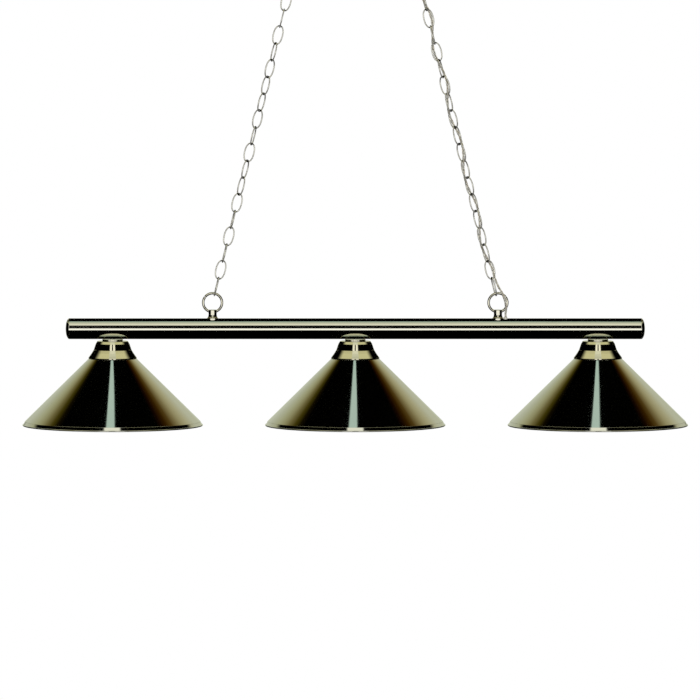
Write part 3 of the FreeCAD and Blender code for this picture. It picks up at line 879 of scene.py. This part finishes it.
def make_chains(m):
    """Both chains, as the same groups of links as the CAD nodes. Every second link is turned."""
    points, faces, rubbed_and_shaded_faces = link_part()
    for name, side in SIDES.items():
        start, down, tilt = chain_frame(side)
        links = []
        for k in range(LINK_COUNT):
            angle = math.radians(twist_at(TWIST[name], k) + (90 if k % 2 == 0 else 0))
            place = start + down * (HOOK_REACH + LINK_HALF + PITCH * k)
            turned = (tilt @ Matrix.Rotation(angle, 3, "Z")).to_4x4()
            links.append(moved((points, faces), Matrix.Translation(place) @ turned))
        middle = links[1:-1]
        groups = (
            ("upper_link_" + name, links[:1], "upper_links"),
            (name + "_chain_upper", middle[:LINKS_PER_NODE], name + "_chain"),
            (name + "_chain_lower", middle[LINKS_PER_NODE:], name + "_chain"),
            ("lower_link_" + name, links[-1:], "lower_links"),
        )
        for node, group, body in groups:
            # Each link's bends take the dark second finish: partly wear, partly painted shade where
            # the links interlock.
            mesh = mesh_of(node + "_links", *merged(group), sharp=60.0,
                           face_materials=rubbed_and_shaded_faces * len(group))
            piece(m, mesh, ("chain_nickel", "rubbed_and_shaded_nickel"), body, node)


def ring_part(slit_angle):
    """The split ring about the origin, in the XZ plane, with its slit at an angle."""
    half_slit = math.asin(RING_SPLIT / 2 / RING_RADIUS)
    steps, slit_end = 96, 0.9
    centres, frames, radii = [], [], []
    back = Vector((0, 1, 0))
    for i in range(steps + 1):
        a = slit_angle + half_slit + (2 * math.pi - 2 * half_slit) * i / steps
        outward = Vector((math.cos(a), 0, math.sin(a)))
        centres.append(outward * RING_RADIUS)
        frames.append((outward, back))
        radii.append(RING_WIRE * (slit_end if i in (0, steps) else 1.0))
    return sweep(centres, frames, radii, sides=24)


def loop_part(x, direction, sunk):
    """A split ring in its turned barrel with a flared foot. The foot stands at height 0."""
    outline = [
        (0.0, -sunk),
        (FOOT_RADIUS, -sunk),
        (FOOT_RADIUS, 0.5, 0.3),
        (9.7, 1.7, 1.2),
        (8.7, 3.5, 3.0, 6),
        (BARREL_RADIUS, 6.6, 4.0, 6),
        (BARREL_RADIUS, BARREL_HEIGHT, 1.0, 6),
        (0.0, BARREL_HEIGHT),
    ]
    barrel = lathe(rounded(outline, closed=False), 72, closed=False)
    outward = math.copysign(RING_SLIT_ANGLE, x) * direction
    slit = math.radians(90 - outward)
    ring = moved(ring_part(slit), Matrix.Translation((0, 0, RING_HEIGHT)))
    part = merged((barrel, ring))
    if direction < 0:
        part = moved(part, Matrix.Rotation(math.pi, 4, "X"))
    return part


def make_loops(m):
    for name, side in SIDES.items():
        for prefix, x, z, direction, sunk, body in (
            ("bar_loop_", side * BAR_LOOP_X, BAR_TOP, 1, BAR_LOOP_SUNK, "lamp_bar"),
            ("canopy_loop_", side * CANOPY_LOOP_X, -CANOPY_DEPTH, -1, 0.0, "canopy"),
        ):
            part = loop_part(x, direction, sunk)
            mesh = mesh_of(prefix + name + "_turned", *part, sharp=40.0)
            piece(m, mesh, ("polished_nickel",), body, prefix + name, (x, 0.0, z))


# Bar


def make_bar(m):
    """The tube, and its pressed end caps with their seams. Both are turned about X."""
    to_x = Matrix.Rotation(math.pi / 2, 4, "Y")
    inner = BAR_RADIUS - BAR_WALL
    tube = lathe(
        rounded(
            [
                (inner, -BAR_HALF_LENGTH),
                (BAR_RADIUS, -BAR_HALF_LENGTH, 0.35),
                (BAR_RADIUS, BAR_HALF_LENGTH, 0.35),
                (inner, BAR_HALF_LENGTH),
            ]
        ),
        160,
    )
    mesh = mesh_of("bar_tube_polished", *moved(tube, to_x))
    piece(m, mesh, ("brushed_bar",), "lamp_bar", "bar_tube", (0.0, 0.0, BAR_Z))

    dome = [
        (0.0, CAP_BULGE),
        (6.0, CAP_BULGE - 0.25, 12.0),
        (12.5, CAP_BULGE - 1.25, 14.0),
        (17.2, CAP_BULGE - 3.2, 8.0),
        (19.9, CAP_BULGE - 5.3, 3.0),
        (BAR_RADIUS - 0.05, 0.15, 0.4),
        (BAR_RADIUS - 0.5, 0.0),
        (inner - 0.06, 0.0),
        (inner - 0.06, -12.0, 0.4),
        (inner - 1.4, -12.0, 0.4),
        (inner - 1.4, 0.8, 1.5),
        (14.0, CAP_BULGE - 3.6, 6.0),
        (0.0, CAP_BULGE - 1.4),
    ]
    for name, side in SIDES.items():
        turn = Matrix.Rotation(side * math.pi / 2, 4, "Y")
        part = moved(lathe(rounded(dome, closed=False), 128, closed=False), turn)
        mesh = mesh_of(f"end_cap_{name}_pressed", *part)
        place = (side * BAR_HALF_LENGTH, 0.0, BAR_Z)
        piece(m, mesh, ("brushed_bar",), "lamp_bar", "end_cap_" + name, place)


# Lamps


def cone_radius(depth):
    return CONE_TOP_RADIUS + CONE_SLOPE * (depth - CONE_TOP_DEPTH)


def cone_part():
    """The shade: a flat flange, a straight cone, a steeper lip and a rolled bead. Heights are
    negative depths. It gives which faces are inside too."""
    lip_start = CONE_TOP_DEPTH + (LIP_START_RADIUS - CONE_TOP_RADIUS) / CONE_SLOPE
    hole = CUP_RADIUS + 0.5
    outer = rounded(
        [
            (hole, -CONE_TOP_DEPTH),
            (CONE_TOP_RADIUS, -CONE_TOP_DEPTH, 1.2),
            (LIP_START_RADIUS, -lip_start, 0.8, 3),
            (RIM_RADIUS - 0.5, -(RIM_DEPTH - 1.2)),
        ],
        closed=False,
    )
    bead = []
    bead_start, bead_turn, bead_steps = 62, 304, 22
    for i in range(bead_steps + 1):
        a = math.radians(bead_start - bead_turn * i / bead_steps)
        bead.append((RIM_RADIUS + RIM_BEAD * math.cos(a), -RIM_DEPTH + RIM_BEAD * math.sin(a)))
    thick = SHEET * math.hypot(1, CONE_SLOPE)
    inner = rounded(
        [
            (RIM_RADIUS - 0.75, -(RIM_DEPTH - 1.2)),
            (LIP_START_RADIUS - 1.1, -(lip_start + 0.4), 2.0, 4),
            (cone_radius(CONE_TOP_DEPTH + SHEET) - thick, -(CONE_TOP_DEPTH + SHEET), 1.0),
            (hole, -(CONE_TOP_DEPTH + SHEET)),
        ],
        closed=False,
    )
    profile = outer + bead[1:-1] + inner
    segments = 224
    points, faces = lathe(profile, segments)
    first_inner = len(outer) + len(bead) - 3
    inside = [1 if i // segments >= first_inner else 0 for i in range(len(faces))]
    return points, faces, inside


def collar_part():
    """The spun cup over the socket: a rounded shoulder, a long neck and a flared foot."""
    hole = CUP_RADIUS + 0.1
    outline = [
        (hole, 0.0),
        (29.9, 0.0, 1.2, 6),
        (33.1, -5.2, 0.7),
        (34.3, -8.6, 1.0),
        (37.2, -17.2, 2.0, 4),
        (40.7, -23.2, 14.0, 6),
        (44.0, -28.0, 12.0, 6),
        (47.4, -32.5, 1.6, 5),
        (47.7, -33.8, 0.2),
        (47.65, -34.2, 0.25),
        (46.8, -34.2, 0.25),
        (46.4, -32.9, 1.2),
        (42.8, -28.5, 11.0),
        (39.4, -23.7, 13.0),
        (36.3, -17.7, 13.0),
        (33.5, -9.2, 2.0),
        (32.2, -5.6, 1.0),
        (29.4, -SHEET, 1.0, 6),
        (hole, -SHEET),
    ]
    return lathe(rounded(outline), 160)


def cup_part():
    """The socket cup: a turned neck under the bar and a drawn cup inside the collar."""
    wall = 1.0
    bore = 5.1
    outline = [
        (bore, NECK_HEIGHT),
        (NECK_RADIUS, NECK_HEIGHT, 0.5),
        (NECK_RADIUS, 2.5, 0.15),
        (NECK_RADIUS - 0.4, 2.2, 0.15),
        (NECK_RADIUS - 0.4, 1.8, 0.15),
        (NECK_RADIUS, 1.5, 0.15),
        (NECK_RADIUS, 0.0, 0.2),
        (CUP_RADIUS, 0.0),
        (CUP_RADIUS, -CUP_DEPTH, 0.4),
        (CUP_RADIUS - wall, -CUP_DEPTH, 0.4),
        (CUP_RADIUS - wall, NECK_HEIGHT - wall, 0.6),
        (bore, NECK_HEIGHT - wall),
    ]
    return lathe(rounded(outline), 128)


def thread(angle, height):
    """How deep a point of an E26 thread lies under its crest."""
    wave = math.cos(2 * math.pi * (height / THREAD_PITCH - angle / (2 * math.pi)))
    return THREAD_DEPTH * (0.5 - 0.5 * wave)


def threaded(outer, inner, top, bottom, outer_thread, inner_thread):
    """A thin sleeve with a rolled thread, which fades out at its ends."""
    fade, row_height = 1.6, 0.42
    steps = int((top - bottom) / row_height)
    rows = [top + (bottom - top) * i / steps for i in range(steps + 1)]
    profile = [(outer, z) for z in rows] + [(inner, z) for z in reversed(rows)]

    def warp(angle, radius, height):
        share = max(0.0, min(1.0, (top - height) / fade, (height - bottom) / fade))
        cut = outer_thread if radius == outer else inner_thread
        return radius - cut * share * thread(angle, height), height

    return lathe(profile, 72, warp=warp)


def bulb_base_part():
    """A screw base: a rolled shell, a black insulator and a solder contact. It gives which of the
    three each face is on, too."""
    shell = threaded(BULB_BASE_RADIUS, 12.2, -20.4, -42.0, 1.0, 0.0)
    insulator = lathe(
        rounded(
            [
                (0.0, -17.5),
                (4.6, -17.7, 0.3),
                (9.2, -18.7, 0.8),
                (12.75, -20.3, 0.4),
                (12.75, -20.9),
                (12.3, -21.6),
                (0.0, -21.6),
            ],
            closed=False,
        ),
        72,
        closed=False,
    )
    contact = lathe(
        rounded([(0.0, -16.15), (2.6, -16.3, 1.2), (4.3, -17.2, 0.5), (4.3, -17.9), (0.0, -17.9)],
                closed=False),
        48,
        closed=False,
    )
    parts = (shell, insulator, contact)
    points, faces = merged(parts)
    kinds = [i for i, part in enumerate(parts) for _ in part[1]]
    return points, faces, kinds


def bulb_part():
    """The bulb's envelope: a round end, a tangent cone and a narrow neck, open at the top."""
    def outline(inset):
        radius = BULB_RADIUS - inset
        neck = 12.5 - inset
        shoulder = (13.4 - inset, 50.0)
        fall = BULB_CENTRE_DEPTH - shoulder[1]
        rise = math.atan2(fall, shoulder[0]) - math.acos(radius / math.hypot(shoulder[0], fall))
        points = [(neck, -31.0), (neck, -44.5)]
        touch = (radius * math.cos(rise), BULB_CENTRE_DEPTH - radius * math.sin(rise))
        bend = rounded([(neck, -44.5), (shoulder[0] - 0.2, -50.0, 14.0, 8), (touch[0], -touch[1])],
                       closed=False)
        points += bend[1:]
        steps = 40
        for i in range(1, steps + 1):
            a = rise - (rise + math.pi / 2) * i / steps
            r = max(0.0, radius * math.cos(a))
            points.append((0.0 if i == steps else r, -(BULB_CENTRE_DEPTH - radius * math.sin(a))))
        return points

    wall = 0.8
    return lathe(outline(0.0) + list(reversed(outline(wall))), 96)


def retainer_part():
    """The ring that holds the shade up, with scooped grips round its edge."""
    top, low = -RETAINER_TOP, -(RETAINER_TOP + RETAINER_HEIGHT)
    outline = rounded(
        [
            (CUP_RADIUS + 0.05, top, 0.3),
            (RETAINER_RADIUS, top, 0.8),
            (RETAINER_RADIUS, low, 0.8),
            (CUP_RADIUS + 0.05, low, 0.3),
        ]
    )

    grips, grip_radius = 16, 1.3
    body_radius = CUP_RADIUS + 2.5

    def warp(angle, radius, height):
        near = (angle * grips / (2 * math.pi)) % 1.0
        off = min(near, 1.0 - near) * 2 * math.pi / grips * RETAINER_RADIUS
        scoop = math.sqrt(max(0.0, grip_radius**2 - off**2))
        share = max(0.0, (radius - body_radius) / (RETAINER_RADIUS - body_radius))
        return radius - scoop * min(1.0, share), height

    return lathe(outline, 256, warp=warp)


def socket_part():
    """The phenolic body inside the cup, a deep cup with a rounded mouth."""
    outline = [
        (3.6, -5.0),
        (CUP_RADIUS - 1.1, -5.0, 0.8),
        (CUP_RADIUS - 1.1, -(CUP_DEPTH - 1), 0.5),
        (SHELL_BORE + 0.55, -(CUP_DEPTH - 1), 0.9),
        (SHELL_BORE + 0.55, -15.0, 0.5),
        (3.6, -15.0),
    ]
    return lathe(rounded(outline), 96)


def make_lamps(m):
    """The three lamps, each piece turned about its lamp's own axis."""
    shell = threaded(SHELL_BORE + 0.45, SHELL_BORE, -15.1, -(CUP_DEPTH - 2), 0.95, 0.95)
    cone_points, cone_faces, inside = cone_part()
    base_points, base_faces, kinds = bulb_base_part()
    base_finishes = ("bulb_metal", "phenolic_black", "solder")
    for name, x in LAMPS.items():
        place = (x, 0.0, COLLAR_TOP)
        bulb, retainer = "bulb_" + name, "retainer_" + name
        for mesh, finishes, body, node in (
            (mesh_of("cone_" + name, cone_points, cone_faces, 30.0, inside),
             ("brushed_cone", "white_enamel"), "lamp_bar", "shade_cone_"),
            (mesh_of("collar_" + name, *collar_part()),
             ("polished_collar",), "lamp_bar", "shade_collar_"),
            (mesh_of("cup_" + name, *cup_part()), ("polished_nickel",), "lamp_bar", "socket_cup_"),
            (mesh_of("socket_" + name, *socket_part()),
             ("phenolic_black",), "lamp_bar", "socket_body_"),
            (mesh_of("shell_" + name, *shell), ("brass",), "lamp_bar", "socket_shell_"),
            (mesh_of("bulb_base_turned_" + name, base_points, base_faces, 40.0, kinds),
             base_finishes, bulb, "bulb_base_"),
            (mesh_of(bulb + "_frosted", *bulb_part()), ("frosted_glass",), bulb, "bulb_glass_"),
            (mesh_of(retainer + "_ring", *retainer_part()),
             ("polished_nickel",), retainer, "shade_retainer_"),
        ):
            piece(m, mesh, finishes, body, node + name, place)


# Canopy


def make_canopy(m):
    """The spun cover, and the two cap nuts that hold it up."""
    sheet = CANOPY_SHEET
    inner = CANOPY_RADIUS - sheet
    outline = [
        (0.0, -CANOPY_DEPTH),
        (51.0, -CANOPY_DEPTH, 7.0, 6),
        (58.0, -(CANOPY_DEPTH - 3.2), 6.0, 6),
        (61.9, -(CANOPY_DEPTH - 9.5), 12.0, 6),
        (63.0, -5.0, 6.0),
        (CANOPY_RADIUS, -1.2, 1.0),
        (CANOPY_RADIUS, 0.0, 0.3),
        (inner, 0.0, 0.3),
        (inner - 0.4, -5.0, 6.0),
        (60.7, -(CANOPY_DEPTH - 9.9), 11.0, 6),
        (57.0, -(CANOPY_DEPTH - 4.2), 6.0, 6),
        (50.6, -(CANOPY_DEPTH - sheet), 6.0, 6),
        (0.0, -(CANOPY_DEPTH - sheet)),
    ]
    mesh = mesh_of("canopy_spun_cover", *lathe(rounded(outline, closed=False), 160, closed=False))
    piece(m, mesh, ("canopy_nickel",), "canopy", "canopy_cover")

    knurls, knurl_depth = 28, 0.16

    def knurl(angle, radius, height):
        share = 1.0 if 5.5 < radius and height > -6.4 else 0.0
        return radius - knurl_depth * share * (0.5 + 0.5 * math.cos(knurls * angle)), height

    nut_outline = rounded(
        [
            (0.0, 0.0),
            (6.0, 0.0, 0.3),
            (6.0, -2.0, 0.1),
            (6.0, -4.0, 0.1),
            (6.0, -6.0, 0.6),
            (5.3, -8.2, 2.0),
            (3.6, -10.1, 2.0),
            (1.6, -10.9, 1.5),
            (0.0, -11.0),
        ],
        closed=False,
    )
    nut = lathe(nut_outline, 168, closed=False, warp=knurl)
    nuts = merged([moved(nut, Matrix.Translation((s * COVER_SCREW_X, 0, 0))) for s in (-1, 1)])
    mesh = mesh_of("cap_nuts_knurled", *nuts)
    piece(m, mesh, ("polished_nickel",), "canopy", "canopy_cap_nuts", (0.0, 0.0, -CANOPY_DEPTH))


def make_bushings(m):
    """The clear bushings where the cord leaves the canopy and enters the bar."""
    bore = 2.3
    grip = lathe(
        rounded(
            [
                (bore, -4.0, 0.5),
                (5.6, -4.0, 0.9, 6),
                (5.6, -0.05, 0.2),
                (4.0, -0.05, 0.1),
                (4.0, 4.6, 0.3),
                (bore, 4.6, 0.3),
            ]
        ),
        64,
    )
    x, y = CANOPY_BUSHING
    mesh = mesh_of("canopy_bushing_moulded", *grip)
    piece(m, mesh, ("clear_plastic",), "canopy", "canopy_cord_bushing", (x, y, -CANOPY_DEPTH))
    nose = lathe(
        rounded(
            [
                (bore, 3.0, 0.3),
                (3.2, 3.0, 0.5, 5),
                (4.0, 0.9, 0.4),
                (4.4, 0.6, 0.3),
                (4.4, -0.9, 0.2),
                (3.5, -1.1, 0.1),
                (3.5, -6.0, 0.4),
                (bore, -6.0, 0.2),
            ]
        ),
        64,
    )
    x, y = BAR_BUSHING
    mesh = mesh_of("bar_bushing_moulded", *nose)
    piece(m, mesh, ("clear_plastic",), "lamp_bar", "bar_cord_bushing", (x, y, BAR_TOP))


def quieten_reflections():
    """Only the collars and the necks show in the metal beside them."""
    for obj in bpy.data.objects:
        obj.visible_glossy = obj.name.startswith(("collar_", "cup_"))


def finish_cad_nodes(m):
    """Gives the CAD nodes that stay in sight their materials."""
    replaced = {n for o in bpy.data.objects for n in o.get("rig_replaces", [])}
    slots = {part["node"]: part["material_slot"] for part in frame["record"]["subparts"]}
    for name, obj in frame["nodes"].items():
        if name in replaced:
            continue
        obj.data.materials.clear()
        obj.data.materials.append(m[slots[name]])


make_camera()
make_world()
make_lights()
materials = make_materials()
make_cord(materials)
make_chains(materials)
make_loops(materials)
make_bar(materials)
make_lamps(materials)
make_canopy(materials)
make_bushings(materials)
finish_cad_nodes(materials)
quieten_reflections()
make_floor()
bpy.context.scene.view_settings.view_transform = "Standard"
